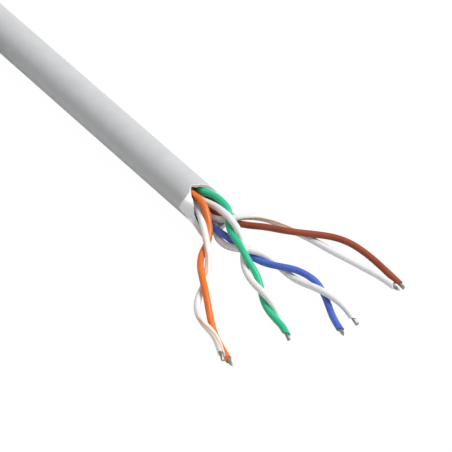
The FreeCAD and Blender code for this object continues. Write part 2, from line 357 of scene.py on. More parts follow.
# %% The jacket's rings
ROUND_JACKET = 96
EASE_OUT = 9.0      # mm behind the end over which the tear's pull dies away
FLARE_BACK = 3.0    # mm over which the flare dies away
NEAR_END = [0, 0.12, 0.35, 0.7, 1.2, 1.9, 2.8, 4.0, 5.6, 7.4, EASE_OUT]


def end_rings(radius, bore):
    """The rings of the torn end, from the edge back to where the jacket is plain again."""
    rings = []
    for back in NEAR_END:
        points = []
        for k in range(ROUND_JACKET):
            angle = 360 * k / ROUND_JACKET
            outer_reach, bore_reach, flare = torn(180 - angle)
            reach = bore_reach if bore else outer_reach
            left = 1 - back / EASE_OUT
            out = radius + flare * MM * max(0.0, 1 - back / FLARE_BACK) ** 2
            turn = math.radians(angle)
            points.append(mouth + Vector((reach * left - back, 0, 0)) * MM
                          + Vector((0, -math.cos(turn), math.sin(turn))) * out)
        rings.append(points)
    return rings


plain = [k for k, run in enumerate(jacket_run) if run > EASE_OUT + 1]
jacket_frames = level_frames(jacket_line)
outside = end_rings(JACKET_R, False) + [ring(jacket_frames[k], JACKET_R, ROUND_JACKET) for k in plain]
bored = plain[:-1:2] + plain[-1:]
inside = end_rings(BORE_R, True) + [ring(jacket_frames[k], BORE_R, ROUND_JACKET) for k in bored]
along = NEAR_END + [jacket_run[k] for k in plain] + [jacket_run[k] for k in bored[::-1]] + NEAR_END[::-1]
cuts = [0, len(outside) - 1, len(outside), len(outside) + len(inside) - 1]
jacket = from_rings("jacket", outside + inside[::-1], along, closed=True, crisp=cuts)

# %% [markdown]
# The torn face is paler than the skin. Part of that is the plastic's own white, since plastic that is stretched
# until it breaks goes white, and part is painted light: the near-white makes the cut face and the rim look lit.
# A point attribute called `torn` marks how near each vertex is to the tear, and the jacket's finish reads it.

# %% Mark the tear
mark = jacket.data.attributes.new("torn", "FLOAT", "POINT")
# These marks paint the cut edge near-white: the stretched plastic's white, and painted light on the cut face and
# rim.
skin_white_and_light_marks = [1.0, 0.25, 0.0] + [0.0] * (len(outside) - 3)
bore_white_and_light_marks = [0.0] * (len(inside) - 3) + [0.0, 0.1, 1.0]
for k, value in enumerate(skin_white_and_light_marks + bore_white_and_light_marks):
    for m in range(ROUND_JACKET):
        mark.data[k * ROUND_JACKET + m].value = value
print(sum(point.value > 0.5 for point in mark.data), "points are marked as torn")

# %% [markdown]
# ## The wires' routes
#
# Inside the jacket the two wires of a pair turn round each other, and a loop works out that helix. The helix's
# points lie a little outside the true orbit, because the spline passes inside its control points. From the last
# of them the routes are given one point at a time, measured from the middle of the stripped end. Each wire
# keeps some of the twist that it had in the jacket, so the pairs still cross once or twice before their ends.

# %% The fan
ROUTES = {
    "orange": [
        (-4.4, -0.9, 1.2), (-2.3, -0.5, 1.4), (-0.7, -0.6, 1.6), (0.7, -0.9, 1.6),
        (2.3, -1.6, 0.8), (3.7, -2.5, -0.2), (4.7, -3.8, -0.6), (5.7, -5.5, -0.5),
        (7.5, -7.2, -0.2), (9.9, -8.6, 0.0), (12.3, -9.9, -0.4), (14.6, -11.2, -1.3),
        (16.8, -12.3, -1.9), (19.1, -13.0, -2.1), (21.4, -13.6, -2.1),
    ],
    "white_orange": [
        (-4.7, -0.7, 0.2), (-2.7, -0.75, 0.35), (-0.9, -1.0, 0.45), (1.1, -1.9, 0.6),
        (3.2, -3.05, 0.6), (5.35, -4.25, 0.4), (7.15, -5.4, -0.1), (8.6, -6.8, -0.7),
        (9.9, -8.4, -1.1), (11.2, -10.5, -1.1), (13.0, -12.1, -0.9), (15.2, -12.9, -0.8),
        (17.2, -13.0, -0.7), (19.1, -13.4, -1.0), (20.7, -14.2, -1.3),
    ],
    "green": [
        (-4.9, 1.1, 1.1), (-3.4, 1.0, 1.2), (-1.9, 0.8, 1.3), (-0.2, 1.3, 1.7),
        (1.2, 1.5, 1.6), (2.6, 1.5, 1.3), (3.5, 1.0, 1.0), (4.5, 0.0, 0.8),
        (5.9, -0.7, 0.7), (7.8, -1.2, 0.9), (9.8, -1.8, 1.0), (11.7, -2.2, 0.5),
        (13.4, -2.4, -0.2), (14.9, -3.0, -0.8), (16.3, -3.9, -1.1), (18.3, -4.7, -1.15),
        (20.4, -5.0, -1.1), (22.0, -5.1, -1.1), (23.2, -5.5, -1.25),
    ],
    "white_green": [
        (-4.6, 0.2, 0.6), (-2.7, 0.2, 0.5), (-0.8, 0.3, 0.7), (0.9, 0.5, 1.1),
        (2.6, 0.3, 1.7), (4.4, 0.2, 1.9), (6.3, 0.0, 1.5), (7.9, -0.3, 0.9),
        (9.1, -1.0, 0.3), (10.3, -2.2, -0.1), (12.2, -3.2, -0.3), (14.4, -3.8, -0.1),
        (16.4, -3.9, 0.0), (18.1, -3.9, -0.3), (19.5, -3.95, -1.1), (20.5, -4.25, -1.75),
        (21.3, -4.6, -1.95),
    ],
    "blue": [
        (-4.4, -1.2, -1.0), (-2.0, -1.2, -1.0), (0.4, -1.1, -0.9), (2.5, -1.1, -0.75),
        (4.1, -1.0, -0.5), (5.4, -0.7, -0.7), (6.6, -0.4, -1.1), (8.1, -0.3, -1.4),
        (9.9, -0.1, -1.3), (11.9, 0.2, -0.9), (13.9, 1.0, -0.4), (15.5, 2.2, -0.4),
        (17.1, 3.0, -0.7), (18.7, 3.4, -1.1), (20.7, 3.0, -1.6), (22.7, 2.1, -1.8),
        (24.7, 1.2, -1.8), (26.7, 0.6, -1.6),
    ],
    "white_blue": [
        (-4.6, -0.2, -1.0), (-2.7, 0.1, -1.4), (-0.8, 0.3, -1.6), (1.0, 0.2, -1.6),
        (2.5, -0.6, -1.6), (4.1, -1.4, -1.5), (5.9, -1.6, -1.2), (7.5, -1.2, -0.7),
        (8.8, -0.4, -0.4), (10.0, 0.4, -0.4), (11.3, 1.1, -0.7), (13.0, 1.5, -1.2),
        (15.2, 1.6, -1.5), (17.4, 1.9, -1.2), (19.4, 2.3, -0.7), (21.4, 2.8, -0.6),
        (23.3, 3.2, -0.8), (24.8, 3.4, -1.3), (26.1, 3.3, -1.8),
    ],
    "brown": [
        (-4.7, 1.2, -1.1), (-2.8, 1.3, -0.9), (-1.1, 1.2, -0.7), (0.6, 1.1, -0.8),
        (2.2, 1.4, -1.1), (3.7, 2.0, -1.0), (5.3, 3.0, -0.8), (7.1, 4.2, -0.4),
        (9.1, 5.5, -0.3), (10.9, 7.0, -0.3), (12.6, 8.7, -0.4), (14.3, 10.3, -0.6),
        (16.3, 11.3, -0.8), (18.8, 11.9, -1.2), (21.9, 12.1, -1.6), (25.0, 12.1, -1.9),
    ],
    "white_brown": [
        (-4.6, 0.6, -0.3), (-2.6, 0.3, -0.4), (-0.6, -0.1, -0.6), (1.1, -0.1, -0.7),
        (2.5, 0.5, -0.4), (3.5, 1.7, 0.0), (4.3, 3.1, 0.1), (5.5, 4.6, -0.1),
        (6.9, 5.8, -0.5), (8.6, 6.8, -1.0), (10.4, 7.5, -1.3), (12.4, 8.1, -1.3),
        (15.0, 8.7, -1.4), (18.1, 9.6, -1.5), (21.0, 10.5, -1.7), (23.3, 11.0, -1.7),
        (25.0, 11.1, -1.7),
    ],
}

print({name: len(fan) for name, fan in ROUTES.items()})

# %% [markdown]
# Each pair sits at its own angle round the jacket's middle. Its two wires are half a turn apart, so one function
# makes both, with the side as 1 or -1, and the fan's points go on from where the helix stops.

# %% The pairs inside the jacket
PAIRS = {"green": 50.0, "orange": 140.0, "blue": 230.0, "brown": 320.0}
PAIR_END = -6.5 * MM
PAIR_TURNS = 4
PAIR_STEPS = 12
WIRES_START = 0.2 * MM


def round_axis(degrees, radius):
    """A point in the plane across the cable, at an angle from +Y towards +Z."""
    turn = math.radians(degrees)
    return Vector((0, radius * math.cos(turn), radius * math.sin(turn)))


def twisted(pair, side):
    """The points of a wire from the coil to where its pair stops turning."""
    steps = PAIR_TURNS * PAIR_STEPS
    begin = WIRES_START - LEAD_LENGTH
    orbit = ORBIT / math.cos(math.pi / PAIR_STEPS) * side
    points = []
    for k in range(steps + 1):
        turned = 360 * (steps - k) / PAIR_STEPS
        across = round_axis(PAIRS[pair], PAIR_R) + round_axis(PAIRS[pair] + turned, orbit)
        points.append(mouth + Vector((begin + (PAIR_END - begin) * k / steps, 0, 0)) + across)
    return points


wire_lines = {}
for name, fan in ROUTES.items():
    side = -1 if name.startswith("white") else 1
    route = twisted(name.removeprefix("white_"), side) + [mouth + Vector(point) * MM for point in fan]
    wire_lines[name] = smooth_line(route)
    print(name, "wire:", round(length_of(wire_lines[name]), 4), "m")

# %% [markdown]
# ## Insulation
#
# Each insulation is a tube with a bore. The end was crushed off by cutters, so it isn't square: it has a short lip
# on one side. The white wires carry a coloured stripe. Its place round the wire is set by keys (mm from
# the jacket's end, degrees from level towards up), and the tube's rings are turned so that the stripe is always at
# u = 0.5: the finish then only has to draw a straight line.

# %% Stripes and lips
STRIPES = {
    "white_orange": [(0, 280), (2, 200), (4, 170), (6, 148), (9, 104), (10.5, 84), (13.5, 222), (16.5, 200),
                     (18, 178), (19.5, 130), (21, 116), (22.5, 92), (25, 65)],
    "white_green": [(0, 300), (30, 330)],
    "white_blue": [(0, 150), (2, 128), (4, 185), (8, 212), (11, 215), (14, 240), (30, 262)],
    "white_brown": [(0, 215), (3, 207), (6, 175), (8, 150), (10, 132), (12, 110), (15, 74), (17, 58), (20, 22),
                    (30, 18)],
}
LIPS = {
    "orange": (250, 0.25), "white_orange": (330, 0.35), "green": (20, 0.45), "white_green": (100, 0.2),
    "blue": (30, 0.25), "white_blue": (40, 0.3), "brown": (60, 0.4), "white_brown": (200, 0.25),
}
ROUND_WIRE = 24
LIP_BACK = 0.9        # mm of insulation that the lip's pull reaches back over
LIP_SET_BACK = 0.3    # how far the whole end is set back, as a share of the lip's reach


def stripe_at(name, out):
    """The stripe's angle at a distance out of the jacket, in mm."""
    keys = STRIPES.get(name, [(0, 0)])
    if out <= keys[0][0]:
        return keys[0][1]
    for (d0, a0), (d1, a1) in zip(keys, keys[1:]):
        if out <= d1:
            return a0 + (a1 - a0) * eased((out - d0) / (d1 - d0))
    return keys[-1][1]


for name in STRIPES:
    print(name, "stripe, 10 mm out:", round(stripe_at(name, 10)), "degrees")

# %% [markdown]
# The skin takes a ring at every point of the line and the bore at every second one. A cosine round the wire makes
# the end slant: the side with the lip reaches forward, and the far side is set back further than that.

# %% Insulation, ring by ring
def insulation(name, line):
    """The insulation of one wire along its line."""
    run = distances(line)
    full = run[-1]
    forward = (line[-1] - line[-2]).normalized()
    hidden = min(range(len(line)), key=lambda k: abs(line[k].x - mouth.x))
    frames = level_frames(line)
    lip_at, lip_reach = LIPS[name]

    def skin(radius, places):
        rings = []
        for k in places:
            turned = stripe_at(name, run[k] - run[hidden]) - 180
            points = ring(frames[k], radius, ROUND_WIRE, turned)
            near = max(0.0, 1 - (full - run[k]) / LIP_BACK)
            for m in range(ROUND_WIRE):
                from_lip = math.radians(360 * m / ROUND_WIRE + turned - lip_at)
                pulled = near ** 2 * (math.cos(from_lip) - LIP_SET_BACK)
                points[m] += forward * lip_reach * MM * pulled
            rings.append(points)
        return rings

    every = list(range(len(line)))
    second = every[:-1:2] + every[-1:]
    rings = skin(WIRE_R, every) + skin(WIRE_BORE_R, second)[::-1]
    along = run + [run[k] for k in second[::-1]]
    cut = [0, len(every) - 1, len(every), len(rings) - 1]
    return from_rings(name + "_insulation_skin", rings, along, closed=True, crisp=cut)


insulations = {name: insulation(name, line) for name, line in wire_lines.items()}

# %% [markdown]
# ## Conductors
#
# A conductor is a solid wire that runs the whole way inside its insulation and shows for a millimetre past its
# end. Side cutters don't leave a square end: they squeeze the wire to a blunt wedge. So the last few rings get
# narrower in one direction and a touch wider in the other.

# %% Conductors with pinched tips
ROUND_CONDUCTOR = 16
PINCH_ANGLES = {
    "orange": 20, "white_orange": 70, "green": 120, "white_green": 60,
    "blue": 0, "white_blue": 100, "brown": 150, "white_brown": 40,
}
PINCH = [     # share of the tip, then its two half widths there as shares of the radius
    (0.35, 1.0, 1.0), (0.55, 0.97, 1.03), (0.75, 0.8, 1.1),
    (0.9, 0.52, 1.12), (0.97, 0.3, 1.05), (1.0, 0.14, 0.9),
]


def conductor(name, line):
    """The solid wire inside an insulation, with its bare tip."""
    frames = level_frames(line)
    point, across, up = frames[-1]
    onward = (line[-1] - line[-2]).normalized()
    squeeze = math.radians(PINCH_ANGLES[name])
    thin = across * math.cos(squeeze) + up * math.sin(squeeze)
    broad = onward.cross(thin)
    rings = [ring(place, CONDUCTOR_R, ROUND_CONDUCTOR, PINCH_ANGLES[name]) for place in frames]
    run = distances(line)
    angles = [2 * math.pi * k / ROUND_CONDUCTOR for k in range(ROUND_CONDUCTOR)]
    for share, narrow, wide in PINCH:
        middle = point + onward * BARE_TIP * share
        rings.append([middle + (thin * math.cos(a) * narrow + broad * math.sin(a) * wide) * CONDUCTOR_R
                      for a in angles])
        run.append(run[len(line) - 1] + BARE_TIP / MM * share)
    return from_rings(name + "_conductor_wire", rings, run, closed=False)


conductors = {name: conductor(name, line) for name, line in wire_lines.items()}
print(len(conductors), "conductors")

# %% [markdown]
# ## The far end
#
# The far end is cut square, and the eight wires end flush with the jacket. They follow the jacket's own line and
# turn in their pairs, so they are made from offsets to that line, and each wire is two meshes: its insulation
# and its conductor.

# %% Wires in the far end
FAR_DEPTH = 26.0      # mm of wire that is modelled inside the far end
FAR_PITCH = 16.0      # mm for one turn of a pair
END_CLEAR = 0.02      # mm that a wire stops behind the jacket's cut


def far_wire(pair, side, radius, bore, short):
    """One short wire inside the far end, flush with its cut or a little short of it."""
    total = jacket_run[-1]
    places = [k for k, run in enumerate(jacket_run) if total - FAR_DEPTH <= run]
    rings, bores, runs = [], [], []
    for k in places:
        point, across, up = jacket_frames[k]
        turned = math.radians(PAIRS[pair] + 360 * (total - jacket_run[k]) / FAR_PITCH)
        at = math.radians(PAIRS[pair])
        middle = (across * (math.cos(at) * PAIR_R + math.cos(turned) * ORBIT * side)
                  + up * (math.sin(at) * PAIR_R + math.sin(turned) * ORBIT * side))
        back = (jacket_line[-2] - jacket_line[-1]).normalized() * short * MM if k == places[-1] else Vector()
        place = (point + middle + back, across, up)
        rings.append(ring(place, radius, ROUND_CONDUCTOR))
        bores.append(ring(place, bore, ROUND_CONDUCTOR))
        runs.append(jacket_run[k])
    return (rings + bores[::-1], runs + runs[::-1]) if bore else (rings, runs)


def far_wires(name, radius, bore, short):
    pieces = []
    for pair in PAIRS:
        for side in (1, -1):
            rings, runs = far_wire(pair, side, radius, bore, short)
            label = f"{name}_{pair if side == 1 else 'white_' + pair}"
            cut = [len(rings) // 2 - 1, len(rings) // 2] if bore else [len(rings) - 1]
            pieces.append(from_rings(label, rings, runs, closed=bool(bore), crisp=cut))
    return pieces


far_insulations = far_wires("far_end", WIRE_R, WIRE_BORE_R, END_CLEAR * 2)
far_conductors = far_wires("far_end_conductor", CONDUCTOR_R, 0, END_CLEAR)
print(len(far_insulations) + len(far_conductors), "pieces in the far end")

# %% [markdown]
# ## The strap
#
# A hook-and-loop strap holds the turns together. In section it is a closed outline round the stacked turns: an arc
# about each corner turn and a straight run from one arc to the next. It is drawn as by hand. One point is spun
# about a turn, moved straight to the next turn, and spun again. The finished outline is then spun about the
# coil's own axis, which gives the strap its width and makes it follow the coil. Solidify gives it its thickness.
# The end laps over the start on the inner side, so the last arc is one thickness further out.

# %% Draw the strap's outline
def select_only(piece):
    bpy.ops.object.select_all(action="DESELECT")
    piece.select_set(True)
    bpy.context.view_layer.objects.active = piece


STRAP_WIDTH_STEPS = 10
STRAP_OUT = 0.52        # from a turn's skin to the middle of the strap, as a share of its thickness
LAP_OUT = 1.55          # the same where the end laps over the start
STRAP_SOLID = 0.94      # how much of its thickness the strap fills
SELVEDGE = 0.18 * MM    # how far its edges are rounded
strap_turns = [(INNER, 0, 150, 270), (OUTER, 0, -90, 30), (UPPER_OUT, LAYER_RISE, 30, 90),
               (UPPER_IN, LAYER_RISE, 90, 150), (INNER, 0, 150, 212)]
strap_radius = [JACKET_R + TIE_THICK * share for share in (STRAP_OUT,) * 4 + (LAP_OUT,)]
sweep = TIE_WIDTH / COIL_RADIUS
lift = mouth.z + TIE_THICK
outline = []
for (radius, height, begin, end), reach in zip(strap_turns, strap_radius):
    steps = max(4, round(abs(end - begin) / 10))
    for k in range(steps + 1):
        turn = math.radians(begin + (end - begin) * k / steps)
        outline.append((radius + reach * math.cos(turn), 0.0, lift + height + reach * math.sin(turn)))
print("strap outline:", len(outline), "points")

# %% [markdown]
# The outline starts as a plane merged to a single point, since Blender itself has no operator that adds one. The
# point is then extruded from place to place round the turns.

# %% Spin the strap along the coil
bpy.ops.object.select_all(action="DESELECT")
bpy.ops.mesh.primitive_plane_add(size=TIE_WIDTH, location=(0, 0, 0))
strap = bpy.context.object
strap.name = "coil_strap"
bpy.ops.object.mode_set(mode="EDIT")
bpy.ops.mesh.select_all(action="SELECT")
bpy.ops.mesh.merge(type="CENTER")
bpy.ops.transform.translate(value=outline[0])
for before, after in zip(outline, outline[1:]):
    bpy.ops.mesh.extrude_region_move(TRANSFORM_OT_translate={"value": Vector(after) - Vector(before)})
bpy.ops.mesh.select_all(action="SELECT")
begin_at = math.radians(TIE_ANGLE) + sweep / 2
bpy.ops.transform.rotate(value=-begin_at, orient_axis="Z", center_override=(0, 0, 0))
bpy.ops.mesh.spin(steps=STRAP_WIDTH_STEPS, angle=sweep, center=(0, 0, 0), axis=(0, 0, 1))
bpy.ops.mesh.select_all(action="SELECT")
bpy.ops.transform.translate(value=(coil_centre.x, coil_centre.y, 0))
bpy.ops.mesh.remove_doubles(threshold=0.01 * MM)
bpy.ops.mesh.normals_make_consistent(inside=False)
bpy.ops.object.mode_set(mode="OBJECT")
print("strap spans", [round(x, 4) for x in strap.dimensions])

# %% [markdown]
# Turning is where mistakes hide: with no window, `transform.rotate` turns the other way, so the angle above is
# negative, and the spin goes clockwise, so it starts half a width past the strap's middle. That middle is compared
# here with where it should be.

# %% Check the strap's place and give it its thickness
middle = sum((vertex.co for vertex in strap.data.vertices), Vector()) / len(strap.data.vertices)
strap_angle = math.degrees(math.atan2(middle.y - coil_centre.y, middle.x - coil_centre.x)) % 360
print("strap at", round(strap_angle, 1), "degrees round the coil, and it should be at", TIE_ANGLE)
select_only(strap)
solidify = strap.modifiers.new("thickness", "SOLIDIFY")
solidify.thickness = TIE_THICK * STRAP_SOLID
solidify.offset = 0.0
bpy.ops.object.modifier_apply(modifier="thickness")
bevel = strap.modifiers.new("selvedge", "BEVEL")
bevel.width = SELVEDGE
bevel.segments = 2
bevel.limit_method = "ANGLE"
bevel.angle_limit = math.radians(50)
bpy.ops.object.modifier_apply(modifier="selvedge")
bpy.ops.object.shade_smooth_by_angle(angle=math.radians(40))
print("strap:", len(strap.data.polygons), "faces")

# %% [markdown]
# ## What rides on what
#
# The cable has no joints, so every piece rides on the one body, and the plain CAD solids that the pieces stand
# for are hidden. The jacket and the eight wires are the cords.

pieces_of_far_end = far_insulations + far_conductors
for piece in [jacket, strap, *insulations.values(), *conductors.values(), *pieces_of_far_end]:
    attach(piece, "root")

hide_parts("jacket_lead", "jacket_coil", "jacket_tail")
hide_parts("coil_tie")
for name in ROUTES:
    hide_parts(name + "_insulation")
    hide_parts(name + "_conductor")
for piece in far_insulations:
    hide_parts("far_end_insulation")
for piece in far_conductors:
    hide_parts("far_end_conductor")
print(2 + len(insulations) + len(conductors) + len(pieces_of_far_end), "pieces ride on the body")

# %% [markdown]
# The jacket lies coiled, and each wire lies loose, with its conductor inside it. The strap and the far end's
# wires are on the jacket.

print(len(wire_lines) + 1, "cords declared")

# %% [markdown]
# ## Finishes
#
# Jacket and insulation are both extruded plastic. Extruding leaves faint lines along the cable, and handling
# leaves small soft dents. One node group makes both, and each finish sets its own strengths. It takes the tube's
# UV map and wraps it round a cylinder, because a pattern drawn straight on the UV map would show a seam where u
# goes from 1 back to 0.

# %% Colour and node helpers
def paint(red, green, blue):
    """A colour as seen on a screen, 0 to 255, as the linear colour that a shader wants."""
    shares = [value / 255 for value in (red, green, blue)]
    return (*[s / 12.92 if s <= 0.04045 else ((s + 0.055) / 1.055) ** 2.4 for s in shares], 1.0)


def wire_up(tree, source, output, node, entry):
    tree.links.new(source.outputs[output], node.inputs[entry])


def math_node(tree, operation, *values):
    """A Math node. Each value is a number or (node, output)."""
    node = tree.nodes.new("ShaderNodeMath")
    node.operation = operation
    for socket, value in zip(node.inputs, values):
        if isinstance(value, tuple):
            tree.links.new(value[0].outputs[value[1]], socket)
        else:
            socket.default_value = value
    return node


def colour_mix(tree, first, second):
    """A node that mixes two screen colours. The first may also be a node that mixes colours itself."""
    node = tree.nodes.new("ShaderNodeMix")
    node.data_type = "RGBA"
    if isinstance(first, tuple):
        node.inputs["A"].default_value = paint(*first)
    else:
        tree.links.new(first.outputs["Result"], node.inputs["A"])
    node.inputs["B"].default_value = paint(*second)
    return node


def new_group(name, place, numbers, results):
    """A node group with a vector to say where, numbers with their defaults, and numbers out."""
    group = bpy.data.node_groups.new(name, "ShaderNodeTree")
    face = group.interface
    face.new_socket(place, in_out="INPUT", socket_type="NodeSocketVector")
    for label, value in numbers:
        face.new_socket(label, in_out="INPUT", socket_type="NodeSocketFloat").default_value = value
    for label in results:
        face.new_socket(label, in_out="OUTPUT", socket_type="NodeSocketFloat")
    return group, group.nodes.new("NodeGroupInput"), group.nodes.new("NodeGroupOutput")


print("mid grey on a screen is", round(paint(128, 128, 128)[0], 3), "in linear light")

# %% [markdown]
# The group gives two outputs: a tone, which is the dents alone, and a height, which is the fine lines with a share
# of the dents on top. Each piece chooses how many lines and dents it has.

# %% The skin of extruded plastic
def extruded_skin():
    """A group: UV in, an uneven tone and a height out."""
    numbers = (("Lines Round", 6.0), ("Line Length", 0.05), ("Dents Round", 1.6), ("Dents", 0.6),
               ("Dent Share", 0.5))
    group, entry, leave = new_group("extruded_skin", "UV", numbers, ("Tone", "Height"))
    split = group.nodes.new("ShaderNodeSeparateXYZ")
    wire_up(group, entry, "UV", split, "Vector")
    turn = math_node(group, "MULTIPLY", (split, "X"), 2 * math.pi)
    cosine = math_node(group, "COSINE", (turn, "Value"))
    sine = math_node(group, "SINE", (turn, "Value"))

    def noise_over(round_scale, along_scale):
        """Noise on the cylinder, stretched by its two scales."""
        wrap = group.nodes.new("ShaderNodeCombineXYZ")
        for axis, part in (("X", cosine), ("Y", sine)):
            scaled = math_node(group, "MULTIPLY", (part, "Value"), (entry, round_scale))
            wire_up(group, scaled, "Value", wrap, axis)
        stretched = math_node(group, "MULTIPLY", (split, "Y"), (entry, along_scale))
        wire_up(group, stretched, "Value", wrap, "Z")
        texture = group.nodes.new("ShaderNodeTexNoise")
        texture.inputs["Scale"].default_value = 1.0
        texture.inputs["Detail"].default_value = 4.0
        wire_up(group, wrap, "Vector", texture, "Vector")
        return texture

    lines = noise_over("Lines Round", "Line Length")
    dents = noise_over("Dents Round", "Dents")
    kept = math_node(group, "MULTIPLY", (dents, "Fac"), (entry, "Dent Share"))
    both = math_node(group, "ADD", (lines, "Fac"), (kept, "Value"))
    wire_up(group, both, "Value", leave, "Height")
    wire_up(group, dents, "Fac", leave, "Tone")
    return group


skin_group = extruded_skin()
print(skin_group.name, "has", len(skin_group.nodes), "nodes")

# %% [markdown]
# A finish is then a Principled BSDF with the group's tone in its colour and roughness, and its height in a Bump
# node. Numbers that are the same all over are set on the shader itself.

# %% Plain plastic
TONE_RANGE = (0.3, 0.7)     # where most of a noise's values lie
ROUGH_SWING = 0.05          # how much rougher and smoother than its middle a finish gets
SKIN_RELIEF = 0.05 * MM     # how high the lines and dents stand


def spread(tree, skin, low, high):
    """A node that spreads the skin's tone from low to high."""
    node = tree.nodes.new("ShaderNodeMapRange")
    for label, value in zip(("From Min", "From Max", "To Min", "To Max"), (*TONE_RANGE, low, high)):
        node.inputs[label].default_value = value
    wire_up(tree, skin, "Tone", node, "Value")
    return node


def plastic(name, colour, darker, rough, bump, radius=JACKET_R, lines=6.0, line_length=0.05, dents=0.6):
    """Extruded plastic. Returns (material, shader, the node that mixes its colour)."""
    material = bpy.data.materials.new(name)
    material.use_nodes = True
    tree = material.node_tree
    shader = tree.nodes["Principled BSDF"]
    place = tree.nodes.new("ShaderNodeUVMap")
    place.uv_map = "skin"
    skin = tree.nodes.new("ShaderNodeGroup")
    skin.node_tree = skin_group
    wire_up(tree, place, "UV", skin, "UV")
    dents_round = dents * radius / MM
    for label, value in (("Lines Round", lines), ("Line Length", line_length), ("Dents Round", dents_round),
                         ("Dents", dents), ("Dent Share", 0.5)):
        skin.inputs[label].default_value = value
    mix = colour_mix(tree, darker, colour)
    wire_up(tree, spread(tree, skin, 0.0, 1.0), "Result", mix, "Factor")
    tree.links.new(mix.outputs["Result"], shader.inputs["Base Color"])
    roughness = spread(tree, skin, rough - ROUGH_SWING, rough + ROUGH_SWING)
    wire_up(tree, roughness, "Result", shader, "Roughness")
    relief = tree.nodes.new("ShaderNodeBump")
    relief.inputs["Strength"].default_value = bump
    relief.inputs["Distance"].default_value = SKIN_RELIEF
    wire_up(tree, skin, "Height", relief, "Height")
    wire_up(tree, relief, "Normal", shader, "Normal")
    return material, shader, mix


def finish_with(piece, material):
    piece.data.materials.clear()
    piece.data.materials.append(material)


print("the plastic's recipe is ready, and each piece brings its own colours")

# %% [markdown]
# The jacket is light grey PVC with a soft satin skin. Its torn edge is paler: the `torn` attribute mixes in
# near-white over the grey, partly the stretched plastic's own white and partly painted light on the cut face.

# %% Jacket finish
grey, grey_shader, grey_mix = plastic("grey_jacket", (204, 205, 206), (198, 199, 200), 0.5, 0.25)
tree = grey.node_tree
marked = tree.nodes.new("ShaderNodeAttribute")
marked.attribute_name = "torn"
# Near-white at the torn edge: the stretched plastic's white, with painted light that makes the cut face look lit.
stretch_white_and_painted_light = colour_mix(tree, grey_mix, (254, 254, 254))
wire_up(tree, marked, "Fac", stretch_white_and_painted_light, "Factor")
tree.links.new(stretch_white_and_painted_light.outputs["Result"], grey_shader.inputs["Base Color"])
grey_shader.inputs["Specular IOR Level"].default_value = 0.35
finish_with(jacket, grey)
print("jacket finish", grey.name)

# %% [markdown]
# The insulation is harder and glossier than the jacket, and its colours are strong because the whole point of
# them is to be told apart.

# %% Coloured insulation
COLOURS = {
    "orange": ((243, 124, 46), (236, 112, 38)),
    "green": ((54, 204, 154), (42, 192, 142)),
    "blue": ((84, 114, 208), (72, 98, 196)),
    "brown": ((162, 78, 50), (148, 66, 40)),
}
coloured = {}
for name, (colour, darker) in COLOURS.items():
    coloured[name], shader, _ = plastic(name + "_plastic", colour, darker, 0.36, 0.2, radius=WIRE_R, lines=3.0,
                                        dents=0.35)
    shader.inputs["Specular IOR Level"].default_value = 0.45
print(len(coloured), "coloured finishes")

# %% [markdown]
# A stripe is printed or pulled into the white plastic as it is extruded. It takes up about an eighth of the way
# round, its edges are soft, and it wanders a little. Because the tube's rings already follow the stripe, the mask
# is the distance of u from 0.5, and noise along the wire nudges it.

# %% The stripe
def stripe_group():
    """A group: UV in, a mask of the stripe out."""
    numbers = (("Width", 0.06), ("Softness", 0.035), ("Wander", 0.02))
    group, entry, leave = new_group("insulation_stripe", "UV", numbers, ("Mask",))
    split = group.nodes.new("ShaderNodeSeparateXYZ")
    wire_up(group, entry, "UV", split, "Vector")
    texture = group.nodes.new("ShaderNodeTexNoise")
    texture.noise_dimensions = "1D"
    texture.inputs["Scale"].default_value = 0.35
    wire_up(group, split, "Y", texture, "W")
    centred = math_node(group, "SUBTRACT", (texture, "Fac"), 0.5)
    nudge = math_node(group, "MULTIPLY", (centred, "Value"), (entry, "Wander"))
    moved = math_node(group, "ADD", (split, "X"), (nudge, "Value"))
    aside = math_node(group, "SUBTRACT", (moved, "Value"), 0.5)
    distance = math_node(group, "ABSOLUTE", (aside, "Value"))
    over = math_node(group, "SUBTRACT", (entry, "Width"), (distance, "Value"))
    soft = math_node(group, "DIVIDE", (over, "Value"), (entry, "Softness"))
    clamp = group.nodes.new("ShaderNodeClamp")
    wire_up(group, soft, "Value", clamp, "Value")
    wire_up(group, clamp, "Result", leave, "Mask")
    return group


stripes = stripe_group()
print(stripes.name, "has", len(stripes.nodes), "nodes")

# %% [markdown]
# The stripes are paler than the coloured wires, because so thin a film lets the white under it show.

# %% White insulation with stripes
STRIPE_COLOURS = {
    "orange": (246, 182, 134), "green": (150, 214, 190), "blue": (150, 170, 220), "brown": (204, 152, 128),
}
for pair, colour in STRIPE_COLOURS.items():
    name = "white_" + pair
    material, shader, mix = plastic(name + "_plastic", (246, 245, 244), (241, 240, 239), 0.38, 0.2,
                                    radius=WIRE_R, lines=3.0, dents=0.35)
    tree = material.node_tree
    place = next(node for node in tree.nodes if node.type == "UVMAP")
    stripe = tree.nodes.new("ShaderNodeGroup")
    stripe.node_tree = stripes
    wire_up(tree, place, "UV", stripe, "UV")
    striped = colour_mix(tree, mix, colour)
    wire_up(tree, stripe, "Mask", striped, "Factor")
    tree.links.new(striped.outputs["Result"], shader.inputs["Base Color"])
    shader.inputs["Specular IOR Level"].default_value = 0.45
    coloured[name] = material

for name, piece in insulations.items():
    finish_with(piece, coloured[name])
for piece in far_insulations:
    finish_with(piece, coloured[piece.name.removeprefix("far_end_")])
print(len(coloured), "insulation finishes")


# %% [markdown]
# The conductors are solid tinned wire. Drawing through a die leaves fine lines along it, so its skin uses the same
# group as the plastic, with many more lines, on a metallic shader.

